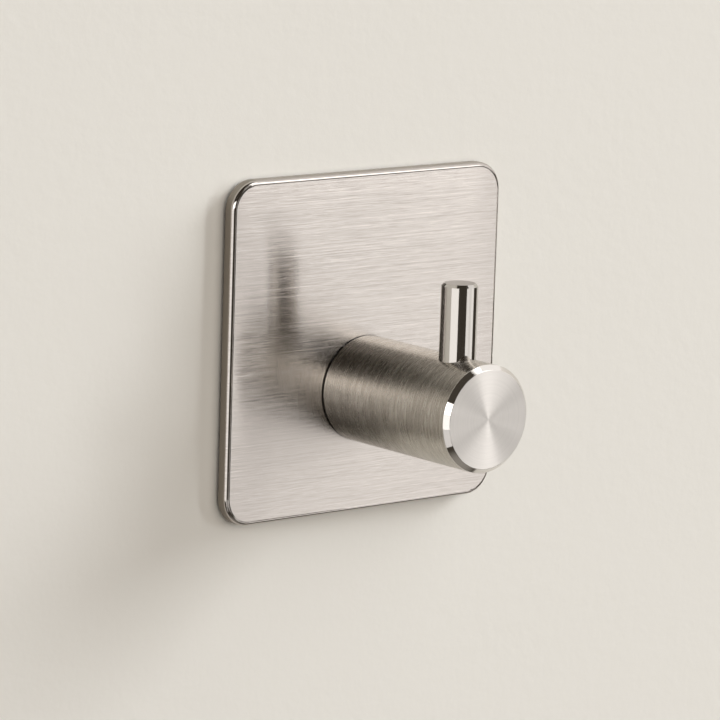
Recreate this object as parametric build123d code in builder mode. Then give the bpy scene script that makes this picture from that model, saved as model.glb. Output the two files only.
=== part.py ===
"""Adhesive wall hook: a square steel plate, a turned post and an upright pin.

Sizes are in millimetres. The origin is the centre of the pad's wall side.
+Y runs into the wall, the post stands out along -Y, and +Z is up.
"""

import os

from build123d import *

# Back plate
plate_width = 50.0
plate_height = 50.0
plate_thickness = 2.0
plate_corner_radius = 4.3
plate_front_round = 0.7
plate_back_break = 0.2

# Adhesive pad, a little smaller than the plate all round
pad_thickness = 0.5
pad_inset = 0.8

# Post, a solid turned bar
post_diameter = 15.6
post_length = 27.5
post_drop = 6.8            # its axis lies this far below the plate's centre
post_nose_chamfer = 0.7
post_nose_round = 0.1      # breaks the two edges of the nose chamfer
post_root_break = 0.25

# Pin, a straight rod pressed into the top of the post
pin_diameter = 5.3
pin_rise = 10.7            # above the top of the post
pin_depth = 5.5            # below the top of the post
pin_setback = 7.1          # its axis lies this far behind the post's front face
pin_top_chamfer = 0.4
pin_foot_chamfer = 0.3

# Countersunk screw that holds the post on from behind
screw_diameter = 4.0
screw_length = 10.0        # head included
screw_head_diameter = 7.4
screw_head_sink = 0.1      # below the plate's back
screw_tip_chamfer = 0.5
screw_slot_width = 0.9
screw_slot_length = 3.8
screw_slot_depth = 1.1
screw_hole_runout = 1.5    # past the screw's tip

# Clearances, on the radius
seat_clearance = 0.02
thread_clearance = 0.05
shank_clearance = 0.25

# Where the pieces meet, as distances from the wall
plate_back = pad_thickness
plate_front = plate_back + plate_thickness
post_front = plate_front + post_length
screw_top = plate_back + screw_head_sink
screw_tip = screw_top + screw_length

post_radius = post_diameter / 2
pin_radius = pin_diameter / 2
post_top = post_radius - post_drop
pin_foot = post_top - pin_depth
pin_axis = post_front - pin_setback


def facing_room(distance, height=0.0):
    """A plane this far from the wall, whose normal points into the room."""
    return Plane(origin=(0, -distance, height), x_dir=(1, 0, 0), z_dir=(0, -1, 0))


def facing_wall(distance, height=0.0):
    """A plane this far from the wall, whose normal points at the wall."""
    return Plane(origin=(0, -distance, height), x_dir=(1, 0, 0), z_dir=(0, 1, 0))


# Back plate, rounded all round its front edge
with BuildPart() as back_plate:
    with BuildSketch(facing_room(plate_back)):
        RectangleRounded(plate_width, plate_height, plate_corner_radius)
    extrude(amount=plate_thickness)
    plate_faces = back_plate.faces().sort_by(Axis.Y)
    front_edges = plate_faces[0].edges()
    back_edges = plate_faces[-1].edges()
    fillet(front_edges, radius=plate_front_round)
    chamfer(back_edges, length=plate_back_break)
    with Locations(facing_wall(plate_back, -post_drop)):
        CounterSinkHole(
            radius=screw_diameter / 2 + shank_clearance,
            counter_sink_radius=screw_head_diameter / 2 + screw_head_sink + seat_clearance,
            counter_sink_angle=90,
        )

# Adhesive pad, cut to the plate's outline less the inset
with BuildPart() as adhesive_pad:
    with BuildSketch(facing_room(0)):
        RectangleRounded(plate_width, plate_height, plate_corner_radius)
        offset(amount=-pad_inset, mode=Mode.REPLACE)
    extrude(amount=pad_thickness)

# Post, with a chamfered nose, a blind bore behind and a cross bore on top
with BuildPart() as post:
    with BuildSketch(facing_room(plate_front, -post_drop)):
        Circle(post_radius)
    extrude(amount=post_length)
    post_ends = post.faces().filter_by(GeomType.PLANE).sort_by(Axis.Y)
    nose_edges = post_ends[0].edges()
    root_edges = post_ends[-1].edges()
    chamfer(nose_edges, length=post_nose_chamfer)
    chamfer(root_edges, length=post_root_break)
    nose_rings = post.edges().filter_by(GeomType.CIRCLE).sort_by(Axis.Y)[:2]
    fillet(nose_rings, radius=post_nose_round)
    with Locations(facing_wall(plate_front, -post_drop)):
        Hole(
            radius=screw_diameter / 2 + thread_clearance,
            depth=screw_tip - plate_front + screw_hole_runout,
        )
    with Locations(Location((0, -pin_axis, post_top))):
        Hole(radius=pin_radius + seat_clearance, depth=pin_depth)

# Pin, standing on the floor of its bore
with BuildPart() as pin:
    with BuildSketch(Plane(origin=(0, -pin_axis, pin_foot))):
        Circle(pin_radius)
    extrude(amount=pin_depth + pin_rise)
    pin_ends = pin.faces().filter_by(GeomType.PLANE).sort_by(Axis.Z)
    foot_edges = pin_ends[0].edges()
    top_edges = pin_ends[-1].edges()
    chamfer(foot_edges, length=pin_foot_chamfer)
    chamfer(top_edges, length=pin_top_chamfer)

# Screw, turned from half of its section, with a cross recess in its head
screw_section = Plane(origin=(0, 0, -post_drop), x_dir=(0, -1, 0), z_dir=(-1, 0, 0))
screw_radius = screw_diameter / 2
screw_head_radius = screw_head_diameter / 2
screw_neck = screw_top + screw_head_radius - screw_radius
with BuildPart() as back_screw:
    with BuildSketch(screw_section):
        with BuildLine():
            Polyline(
                (screw_top, 0),
                (screw_top, screw_head_radius),
                (screw_neck, screw_radius),
                (screw_tip - screw_tip_chamfer, screw_radius),
                (screw_tip, screw_radius - screw_tip_chamfer),
                (screw_tip, 0),
                close=True,
            )
        make_face()
    revolve(axis=Axis((0, 0, -post_drop), (0, -1, 0)))
    with BuildSketch(facing_room(screw_top, -post_drop)):
        Rectangle(screw_slot_length, screw_slot_width)
        Rectangle(screw_slot_width, screw_slot_length)
    extrude(amount=screw_slot_depth, mode=Mode.SUBTRACT)

pieces = {
    "back_plate": back_plate,
    "adhesive_pad": adhesive_pad,
    "post": post,
    "pin": pin,
    "back_screw": back_screw,
}

os.makedirs("parts", exist_ok=True)
for name, piece in pieces.items():
    piece.part.label = name
    export_step(piece.part, f"parts/{name}.step")
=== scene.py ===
"""Looks of a square adhesive hook on a pale wall: brushed plate, turned post, polished pin, foam pad."""

import math

import bpy
from mathutils import Matrix, Vector

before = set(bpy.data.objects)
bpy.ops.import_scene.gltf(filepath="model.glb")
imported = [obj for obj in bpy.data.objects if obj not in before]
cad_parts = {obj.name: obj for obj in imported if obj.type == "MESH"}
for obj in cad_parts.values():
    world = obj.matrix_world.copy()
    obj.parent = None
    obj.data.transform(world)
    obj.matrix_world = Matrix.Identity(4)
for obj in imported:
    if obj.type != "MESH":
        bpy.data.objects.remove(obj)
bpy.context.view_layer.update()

# The camera, as angles about the plate and lengths in metres
VIEW_AZIMUTH = 39.66
VIEW_ELEVATION = 10.36
VIEW_ROLL = 1.80
VIEW_DISTANCE = 0.650
VIEW_NEAR = 0.01
VIEW_FAR = 10.0
VIEW_LENS_MM = 223.8
VIEW_SENSOR_MM = 36.0
PLATE_RIGHT_OF_CENTRE = 0.00084
PLATE_ABOVE_CENTRE = 0.00262

# The part, in metres
PLATE_FACE = Vector((0.0, -0.0025, 0.0))
PLATE_HALF_SIZE = 0.025
POST_AXIS = (0.0, 0.0, -0.0068)
LIT_POINT = Vector((0.0, -0.012, -0.003))

# Directions on the part
ACROSS_HAIRLINES = {"X": 0.0, "Y": 0.05, "Z": 1.0}
ALONG_POST = (0.0, 1.0, 0.0)
ACROSS_POST = (1.0, 0.0, 1.0)

# Where one finish passes into the next, by how far the surface's own direction lies along an axis
PLATE_FLAT = (0.975, 0.998)
PLATE_SIDE = (0.10, 0.35)
POST_CHAMFER = (0.15, 0.40)
POST_END = (0.90, 0.97)
# The post's root break, which is painted near black as shade
POST_ROOT_SHADE = (0.30, 0.60)
PIN_END = (0.90, 0.97)

# Depths of the finishes, in metres
DUB_WIDTH = 0.009
DUB_DEPTH = 0.00032
HAIRLINE_DEPTH = 0.000003
TURNING_DEPTH = 0.000001
DRAWING_DEPTH = 0.000001
TOOL_MARK_DEPTH = 0.000004
FOAM_CELL_DEPTH = 0.00003
ROLLER_DEPTH = 0.00004

# Hairlines: rows to a metre, and cells to a metre along each row
SHORT_LINE_ROWS = 11000.0
SHORT_LINE_RUN = (300.0, 0.0, 0.0)
LONG_LINE_ROWS = 9000.0
LONG_LINE_RUN = (28.0, 0.0, 0.0)
RING_ROWS = 9000.0
RING_RUN = (330.0, 0.0, 330.0)
TURNED_ROWS = 9000.0
TURNED_RUN = (60.0, 0.0, 60.0)
ROW_SHIFT = (100.0, 100.0, 100.0)
LONG_LINE_SHARE = 0.45

# Levels of noise about 0.5 that are taken to a range of values
NOISE_LEVELS = (0.25, 0.75)
STREAK_LEVELS = (0.28, 0.72)
BRIGHT_LEVELS = (0.55, 0.70)
DEEP_LEVELS = (0.45, 0.30)

# Noise: cells to a metre along X, Y and Z, and detail
GROOVES = ((60.0, 60.0, 12000.0), 1.0)
DRAWING_MARKS = ((2600.0, 2600.0, 120.0), 3.0)
TOOL_MARKS = ((300.0, 4000.0, 300.0), 3.0)
FOAM_CLOUD = ((160.0, 160.0, 160.0), 4.0)
ROLLER_MARKS = ((420.0, 420.0, 420.0), 5.0)
FOAM_CELLS = 4500.0
FOAM_CELL_REACH = 0.8

# Roughness, from smooth to coarse where it varies
HAIRLINE_ROUGHNESS = (0.12, 0.27)
ROUNDED_EDGE_ROUGHNESS = 0.06
SIDE_ROUGHNESS = 0.33
BARREL_ROUGHNESS = (0.22, 0.29)
TURNED_ROUGHNESS = (0.30, 0.33)
CHAMFER_ROUGHNESS = 0.07
PIN_ROUGHNESS = (0.05, 0.10)
CUT_ROUGHNESS = 0.30
SCREW_ROUGHNESS = (0.24, 0.36)
FOAM_ROUGHNESS = (0.72, 0.92)
WALL_ROUGHNESS = 0.85
PLATE_ANISOTROPY = 1.0
POST_ANISOTROPY = 0.95

# The stage, in metres and degrees
WALL_HALF_SIZE = 0.9
WALL_Y = 0.00002
ROOM_RADIUS = 6.5
ROOM_SEGMENTS = 48
ROOM_RINGS = 24
POOL_ANGLES = (10.0, -75.0)
POOL_EDGE = 0.86

# Colours, linear
WALL_PAINT = (0.822, 0.836, 0.816)
PALE = (0.76, 0.73, 0.67)
ROOM_DARK = (0.062, 0.053, 0.042)
ROOM_FLOOR = (0.30, 0.28, 0.25)
LAMP_WHITE = (1.0, 0.985, 0.970)
LAMP_WARM = (1.10, 0.980, 0.870)
STEEL_LIGHT = (0.598, 0.557, 0.528)
STEEL_DARK = (0.432, 0.401, 0.374)
# Darker steel of the satin sides: partly their own finish, partly painted shade from the shadowed wall
# beside them
SIDE_STEEL_AND_SHADE = (0.34, 0.308, 0.272)
BARREL_LIGHT = (0.605, 0.568, 0.515)
BARREL_DARK = (0.405, 0.374, 0.328)
# Painted shade, near black, on the post's root break where it meets the plate
ROOT_PAINTED_SHADE = (0.030, 0.027, 0.023)
TURNED_LIGHT = (0.660, 0.632, 0.602)
TURNED_DARK = (0.627, 0.6004, 0.5719)
CHAMFER_STEEL = (0.74, 0.71, 0.68)
BRIGHT_STEEL = (0.56, 0.535, 0.505)
CUT_STEEL = (0.30, 0.285, 0.265)
FOAM_BLACK = (0.030, 0.029, 0.028)
FOAM_GREY = (0.066, 0.0638, 0.0616)


class Shader:
    """One material and short calls for the nodes in it."""

    def __init__(self, name):
        self.material = bpy.data.materials.new(name)
        self.material.use_nodes = True
        self.tree = self.material.node_tree
        self.tree.nodes.clear()

    def put(self, kind, inputs=None, **settings):
        """Adds a node. Inputs are sockets to link from, or values to set."""
        node = self.tree.nodes.new(kind)
        for key, value in settings.items():
            setattr(node, key, value)
        for key, value in (inputs or {}).items():
            if isinstance(value, bpy.types.NodeSocket):
                self.tree.links.new(value, node.inputs[key])
            else:
                node.inputs[key].default_value = value
        return node

    def place(self):
        """Position on the part, in metres of the row frame."""
        return self.put("ShaderNodeTexCoord").outputs["Object"]

    def normal(self):
        """The surface's own direction in the row frame."""
        return self.put("ShaderNodeTexCoord").outputs["Normal"]

    def parts(self, vector):
        """X, Y and Z of a vector."""
        return self.put("ShaderNodeSeparateXYZ", {"Vector": vector}).outputs

    def calc(self, operation, first, second=0.0):
        """Arithmetic on numbers."""
        return self.put("ShaderNodeMath", {0: first, 1: second}, operation=operation).outputs["Value"]

    def along(self, operation, first, second=(0.0, 0.0, 0.0)):
        """Arithmetic on vectors that gives a vector."""
        inputs = {0: first, 1: second}
        return self.put("ShaderNodeVectorMath", inputs, operation=operation).outputs["Vector"]

    def measure(self, operation, first, second=(0.0, 0.0, 0.0)):
        """Arithmetic on vectors that gives a number."""
        inputs = {0: first, 1: second}
        return self.put("ShaderNodeVectorMath", inputs, operation=operation).outputs["Value"]

    def step(self, value, levels, start=0.0, end=1.0):
        """Goes smoothly from start to end while the value goes from the first level to the second."""
        low, high = levels
        inputs = {"Value": value, "From Min": low, "From Max": high, "To Min": start, "To Max": end}
        return self.put("ShaderNodeMapRange", inputs, interpolation_type="SMOOTHSTEP").outputs["Result"]

    def grain(self, place, cells, detail):
        """Noise about 0.5, with that many cells to a metre along X, Y and Z."""
        stretched = self.along("MULTIPLY", place, cells)
        inputs = {"Vector": stretched, "Scale": 1.0, "Detail": detail, "Roughness": 0.6}
        return self.put("ShaderNodeTexNoise", inputs).outputs["Fac"]

    def hairlines(self, across, place, rows, run):
        """Noise about 0.5 in straight rows. Each row has its own start along the place."""
        row = self.calc("FLOOR", self.calc("MULTIPLY", across, rows))
        chance = self.put("ShaderNodeTexWhiteNoise", {"W": row}, noise_dimensions="1D").outputs["Color"]
        start = self.along("MULTIPLY", chance, ROW_SHIFT)
        stretched = self.along("ADD", self.along("MULTIPLY", place, run), start)
        inputs = {"Vector": stretched, "Scale": 1.0, "Detail": 1.0, "Roughness": 0.5}
        return self.put("ShaderNodeTexNoise", inputs).outputs["Fac"]

    def blend(self, factor, first, second):
        """A mix of two numbers."""
        return self.put("ShaderNodeMix", {0: factor, 2: first, 3: second}, data_type="FLOAT").outputs[0]

    def mixed(self, factor, first, second):
        """A mix of two colours, each a socket or four values."""
        return self.put("ShaderNodeMix", {0: factor, 6: first, 7: second}, data_type="RGBA").outputs[2]

    def tint(self, factor, first, second):
        """A mix of two of the named colours."""
        return self.mixed(factor, (*first, 1.0), (*second, 1.0))

    def bump(self, height, distance=1.0):
        """Relief of that height, times the distance, in metres."""
        inputs = {"Height": height, "Distance": distance, "Strength": 1.0}
        return self.put("ShaderNodeBump", inputs).outputs["Normal"]

    def surface(self, inputs):
        """The Principled shader that the material shows."""
        self.show(self.put("ShaderNodeBsdfPrincipled", inputs).outputs["BSDF"])

    def show(self, shader):
        """What the material shows."""
        self.put("ShaderNodeOutputMaterial", {"Surface": shader})


def dubbed(s, across):
    """How far the buffed face falls away near two opposite edges, in metres."""
    inside = PLATE_HALF_SIZE - DUB_WIDTH
    reach = s.calc("MAXIMUM", s.calc("SUBTRACT", s.calc("ABSOLUTE", across), inside), 0.0)
    share = s.calc("DIVIDE", reach, DUB_WIDTH)
    return s.calc("MULTIPLY", s.calc("MULTIPLY", share, share), DUB_DEPTH)


def scratches(s, lines):
    """Only the bright and the deep ones of some hairlines, about 0.5."""
    bright = s.step(lines, BRIGHT_LEVELS, 0.5, 1.0)
    deep = s.step(lines, DEEP_LEVELS, 0.0, 0.5)
    return s.calc("SUBTRACT", bright, deep)


def plate_steel():
    """Brushed from side to side on the face, bright on the rounded edge and satin on the sides. The sides'
    darker colour is partly their satin finish and partly painted shade.
    """
    s = Shader("plate_steel_look")
    place = s.place()
    x, _, z = s.parts(place)
    squareness = s.calc("ABSOLUTE", s.parts(s.normal())["Y"])
    face = s.step(squareness, PLATE_FLAT)
    side = s.step(squareness, PLATE_SIDE, 1.0, 0.0)

    short_lines = s.hairlines(z, place, SHORT_LINE_ROWS, SHORT_LINE_RUN)
    long_lines = s.hairlines(z, place, LONG_LINE_ROWS, LONG_LINE_RUN)
    lightness = s.blend(LONG_LINE_SHARE, scratches(s, short_lines), scratches(s, long_lines))
    face_roughness = s.blend(lightness, *HAIRLINE_ROUGHNESS)
    edge_roughness = s.blend(side, ROUNDED_EDGE_ROUGHNESS, SIDE_ROUGHNESS)
    relief = s.calc("MULTIPLY", s.grain(place, *GROOVES), HAIRLINE_DEPTH)
    fall = s.calc("ADD", dubbed(s, x), dubbed(s, z))
    height = s.calc("MULTIPLY", s.calc("SUBTRACT", relief, fall), face)
    face_colour = s.tint(lightness, STEEL_DARK, STEEL_LIGHT)

    # The sides get a darker colour: partly their satin finish, partly painted shade
    s.surface({
        "Base Color": s.mixed(side, face_colour, (*SIDE_STEEL_AND_SHADE, 1.0)),
        "Metallic": 1.0,
        "Roughness": s.blend(face, edge_roughness, face_roughness),
        "Anisotropic": PLATE_ANISOTROPY,
        "Tangent": s.put("ShaderNodeCombineXYZ", ACROSS_HAIRLINES).outputs["Vector"],
        "Normal": s.bump(height),
    })
    return s.material


def post_steel():
    """Brushed round the barrel, turned on the end face, bright on the nose chamfer, with painted shade on
    the root break where it meets the plate.
    """
    s = Shader("post_steel_look")
    place = s.place()
    toward_wall = s.parts(s.normal())["Y"]
    squareness = s.calc("ABSOLUTE", toward_wall)
    end = s.step(squareness, POST_END)
    # Mask of the root break, which gets painted shade
    root_shade = s.step(toward_wall, POST_ROOT_SHADE)
    sloped = s.step(squareness, POST_CHAMFER)
    chamfer = s.calc("SUBTRACT", s.calc("SUBTRACT", sloped, end), root_shade)

    from_axis = s.along("MULTIPLY", s.along("SUBTRACT", place, POST_AXIS), ACROSS_POST)
    outward = s.along("NORMALIZE", from_axis)
    radius = s.measure("LENGTH", from_axis)

    rings = s.hairlines(s.parts(place)["Y"], place, RING_ROWS, RING_RUN)
    turned = s.hairlines(radius, place, TURNED_ROWS, TURNED_RUN)
    streak = s.blend(end, rings, turned)
    lightness = s.step(streak, STREAK_LEVELS)
    barrel_roughness = s.step(rings, NOISE_LEVELS, *BARREL_ROUGHNESS)
    end_roughness = s.step(turned, NOISE_LEVELS, *TURNED_ROUGHNESS)
    brushed_roughness = s.blend(end, barrel_roughness, end_roughness)
    relief = s.calc("MULTIPLY", streak, s.calc("SUBTRACT", 1.0, chamfer))
    height = s.calc("MULTIPLY", relief, TURNING_DEPTH)
    # The root break is painted near black: painted shade in the recess at the plate
    barrel_colour = s.mixed(root_shade, s.tint(lightness, BARREL_DARK, BARREL_LIGHT), (*ROOT_PAINTED_SHADE, 1.0))
    end_colour = s.tint(lightness, TURNED_DARK, TURNED_LIGHT)
    brushed_colour = s.mixed(end, barrel_colour, end_colour)

    s.surface({
        "Base Color": s.mixed(chamfer, brushed_colour, (*CHAMFER_STEEL, 1.0)),
        "Metallic": 1.0,
        "Roughness": s.blend(chamfer, brushed_roughness, CHAMFER_ROUGHNESS),
        "Anisotropic": POST_ANISOTROPY,
        "Tangent": s.along("ADD", outward, ALONG_POST),
        "Normal": s.bump(height),
    })
    return s.material


def pin_steel():
    """Polished, with faint drawing marks along it and a plain cut end."""
    s = Shader("pin_steel_look")
    end = s.step(s.parts(s.normal())["Z"], PIN_END)
    marks = s.grain(s.place(), *DRAWING_MARKS)
    polish = s.step(marks, NOISE_LEVELS, *PIN_ROUGHNESS)
    s.surface({
        "Base Color": s.tint(end, BRIGHT_STEEL, CUT_STEEL),
        "Metallic": 1.0,
        "Roughness": s.blend(end, polish, CUT_ROUGHNESS),
        "Normal": s.bump(marks, DRAWING_DEPTH),
    })
    return s.material


def screw_steel():
    """Plain turned steel with tool marks round the head."""
    s = Shader("screw_steel_look")
    marks = s.grain(s.place(), *TOOL_MARKS)
    s.surface({
        "Base Color": s.tint(marks, STEEL_DARK, STEEL_LIGHT),
        "Metallic": 1.0,
        "Roughness": s.step(marks, NOISE_LEVELS, *SCREW_ROUGHNESS),
        "Normal": s.bump(marks, TOOL_MARK_DEPTH),
    })
    return s.material


def pad_foam():
    """Matt black foam tape with fine open cells."""
    s = Shader("pad_foam_look")
    place = s.place()
    cells = s.put("ShaderNodeTexVoronoi", {"Vector": place, "Scale": FOAM_CELLS}).outputs["Distance"]
    cloud = s.grain(place, *FOAM_CLOUD)
    s.surface({
        "Base Color": s.tint(cloud, FOAM_BLACK, FOAM_GREY),
        "Roughness": s.step(cells, (0.0, FOAM_CELL_REACH), *FOAM_ROUGHNESS),
        "Normal": s.bump(cells, FOAM_CELL_DEPTH),
    })
    return s.material


def wall_paint():
    """Matt paint with a soft roller texture. Seen from behind it lets the view through."""
    s = Shader("wall_paint_look")
    roller = s.grain(s.place(), *ROLLER_MARKS)
    behind = s.put("ShaderNodeNewGeometry").outputs["Backfacing"]
    paint = s.put("ShaderNodeBsdfPrincipled", {
        "Base Color": (*WALL_PAINT, 1.0),
        "Roughness": WALL_ROUGHNESS,
        "Normal": s.bump(roller, ROLLER_DEPTH),
    }).outputs["BSDF"]
    clear = s.put("ShaderNodeBsdfTransparent").outputs["BSDF"]
    s.show(s.put("ShaderNodeMixShader", {0: behind, 1: paint, 2: clear}).outputs["Shader"])
    return s.material


def room_paint():
    """The dark end of the studio, with a soft pool of light on its floor."""
    s = Shader("room_look")
    nearness = s.measure("DOT_PRODUCT", s.place(), toward(*POOL_ANGLES))
    pool = s.step(nearness, (POOL_EDGE * ROOM_RADIUS, ROOM_RADIUS))
    colour = s.tint(pool, ROOM_DARK, ROOM_FLOOR)
    s.show(s.put("ShaderNodeEmission", {"Color": colour, "Strength": 1.0}).outputs["Emission"])
    s.material.cycles.emission_sampling = "NONE"
    return s.material


def put_on(node_name, material):
    """Gives a CAD node its material in every slot."""
    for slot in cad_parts[node_name].material_slots:
        slot.material = material


def toward(theta, elevation):
    """Direction from the hook into the room: theta to the right of straight out, and up from level."""
    t, e = math.radians(theta), math.radians(elevation)
    return Vector((math.sin(t) * math.cos(e), -math.cos(t) * math.cos(e), math.sin(e)))


def add_panel(name, angles, distance, size, radiance, colour):
    """A soft panel that faces the hook, in the direction that toward() gives. A radiance of 1 is white."""
    width, height = size
    light = bpy.data.lights.new(name, "AREA")
    light.shape = "RECTANGLE"
    light.size = width
    light.size_y = height
    light.color = colour
    light.energy = radiance * math.pi * width * height
    panel = bpy.data.objects.new(name, light)
    out = toward(*angles)
    panel.location = LIT_POINT + out * distance
    panel.rotation_euler = out.to_track_quat("Z", "Y").to_euler()
    panel.visible_camera = False
    bpy.context.collection.objects.link(panel)
    return panel


def add_lamp(name, angles, distance, size, radiance, colour=LAMP_WHITE):
    """A panel that lights matt surfaces and doesn't show in reflections."""
    add_panel(name, angles, distance, size, radiance, colour).visible_glossy = False


def add_card(name, angles, distance, size, radiance):
    """A panel that shows in reflections and doesn't light matt surfaces."""
    add_panel(name, angles, distance, size, radiance, LAMP_WHITE).visible_diffuse = False


def add_wall():
    """A wall with its front at the pad. It casts no shadow, so light from behind reaches the pad's back."""
    half = WALL_HALF_SIZE
    corners = [(x, WALL_Y, z) for x, z in ((-half, -half), (half, -half), (half, half), (-half, half))]
    mesh = bpy.data.meshes.new("wall")
    mesh.from_pydata(corners, [], [(0, 1, 2, 3)])
    mesh.materials.append(wall_paint())
    wall = bpy.data.objects.new("wall", mesh)
    wall.visible_shadow = False
    bpy.context.collection.objects.link(wall)


def add_room():
    """A dark room round the stage. The view itself doesn't show it."""
    bpy.ops.mesh.primitive_uv_sphere_add(radius=ROOM_RADIUS, segments=ROOM_SEGMENTS, ring_count=ROOM_RINGS)
    room = bpy.context.object
    room.name = "room"
    room.data.materials.append(room_paint())
    room.visible_camera = False


def set_world():
    """A pale backdrop behind everything, where the view passes the wall."""
    world = bpy.data.worlds.new("backdrop")
    world.use_nodes = True
    background = world.node_tree.nodes["Background"]
    background.inputs["Color"].default_value = (*PALE, 1.0)
    background.inputs["Strength"].default_value = 1.0
    bpy.context.scene.world = world


def add_camera():
    """The photo's camera: left of the hook and a little above it, with a long lens."""
    azimuth, elevation = math.radians(VIEW_AZIMUTH), math.radians(VIEW_ELEVATION)
    forward = Vector((
        math.sin(azimuth) * math.cos(elevation),
        math.cos(azimuth) * math.cos(elevation),
        -math.sin(elevation),
    ))
    level = Vector((math.cos(azimuth), -math.sin(azimuth), 0.0))
    turn = Matrix.Rotation(math.radians(-VIEW_ROLL), 3, forward)
    right = turn @ level
    up = turn @ level.cross(forward)
    centre = PLATE_FACE - PLATE_RIGHT_OF_CENTRE * right - PLATE_ABOVE_CENTRE * up
    place = Matrix.Translation(centre - VIEW_DISTANCE * forward)
    data = bpy.data.cameras.new("camera")
    data.sensor_width = VIEW_SENSOR_MM
    data.lens = VIEW_LENS_MM
    data.clip_start = VIEW_NEAR
    data.clip_end = VIEW_FAR
    camera = bpy.data.objects.new("camera", data)
    camera.matrix_world = place @ Matrix((right, up, -forward)).transposed().to_4x4()
    bpy.context.collection.objects.link(camera)
    bpy.context.scene.camera = camera


put_on("back_plate", plate_steel())
put_on("post", post_steel())
put_on("pin", pin_steel())
put_on("back_screw", screw_steel())
put_on("adhesive_pad", pad_foam())

add_wall()
add_room()
set_world()

# Each panel: name, degrees to the right and up, distance, width and height in metres, radiance
add_lamp("key", (71.4, 28.2), 4.5, (2.79, 1.69), 11.9)
add_lamp("low_key", (54.0, 4.0), 4.5, (0.47, 1.40), 15.0)
add_lamp("wall_wash", (85.0, 38.5), 4.5, (0.79, 6.66), 19.4)
add_lamp("fill", (-3.0, 11.0), 4.5, (6.1, 4.1), 1.46, colour=LAMP_WARM)
add_lamp("rear_fill", (180.0, 25.0), 1.0, (1.0, 1.0), 6.0)
add_card("upper_right", (74.0, 34.0), 2.0, (1.95, 1.95), 1.1)
add_card("front_right", (40.0, -18.0), 1.6, (1.04, 1.60), 1.08)
add_card("front_edge", (49.0, -18.0), 1.6, (0.51, 1.60), 0.2)
add_card("front_strip", (39.0, 34.0), 1.6, (0.52, 1.70), 2.0)
add_card("front_soft", (14.0, 37.0), 1.6, (0.56, 0.92), 0.42)
add_card("front_low", (14.0, -7.0), 1.6, (0.45, 0.74), 1.2)
add_card("front_floor", (-5.0, -23.0), 1.5, (0.80, 0.48), 0.45)
add_card("left_front", (-30.0, -22.0), 1.5, (0.53, 0.42), 0.35)
add_card("left_low", (-70.0, -8.0), 1.4, (1.30, 0.60), 1.4)
add_card("left_high", (-56.0, 13.0), 1.4, (1.25, 0.45), 3.0)
add_card("left_floor", (-48.0, -33.0), 1.4, (0.30, 0.72), 0.8)
add_camera()
bpy.context.scene.view_settings.view_transform = "Standard"
